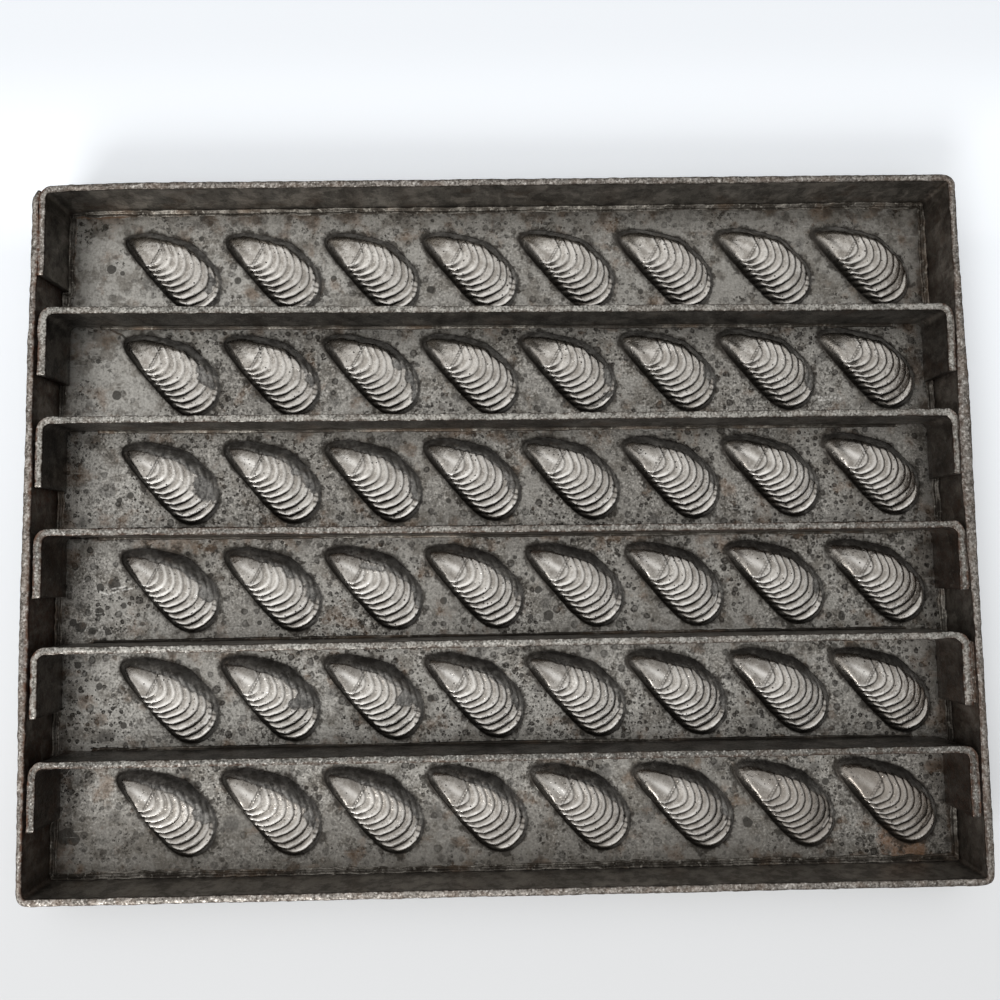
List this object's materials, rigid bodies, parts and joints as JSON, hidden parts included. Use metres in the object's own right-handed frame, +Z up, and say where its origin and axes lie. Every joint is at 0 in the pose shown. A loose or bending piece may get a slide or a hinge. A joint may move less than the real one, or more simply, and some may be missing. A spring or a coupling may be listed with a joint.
{
  "type": "confectionery mould",
  "caption": "Flat pressed-metal sweet mould with rows of mussel-shell hollows, lying face down, its back open with an edge band and bent stiffening straps.",
  "frame": {"origin": "centre of the outline on the table, in the plane of the moulding face", "axes": "+X along the rows of eight shells, to the picture's right; +Y to the picture's top; +Z up, out of the back of the mould"},
  "size_m": [0.35, 0.264, 0.022],
  "materials": {
    "plate": "worn tinned sheet, grey with dark spots, brighter shells",
    "strip": "dark brown-black faces with worn grey edges",
    "solder": "dull grey solder"
  },
  "bodies": {
    "root": {"frame_band": "strip", "plate_row_1": "plate", "plate_row_2": "plate", "plate_row_3": "plate", "plate_row_4": "plate", "plate_row_5": "plate", "plate_row_6": "plate", "strap_1": "strip", "strap_2": "strip", "strap_3": "strip", "strap_4": "strip", "strap_5": "strip", "plate_solder": "solder", "strap_solder_1": "solder", "strap_solder_2": "solder", "strap_solder_3": "solder", "strap_solder_4": "solder", "strap_solder_5": "solder"}
  },
  "joints": []
}
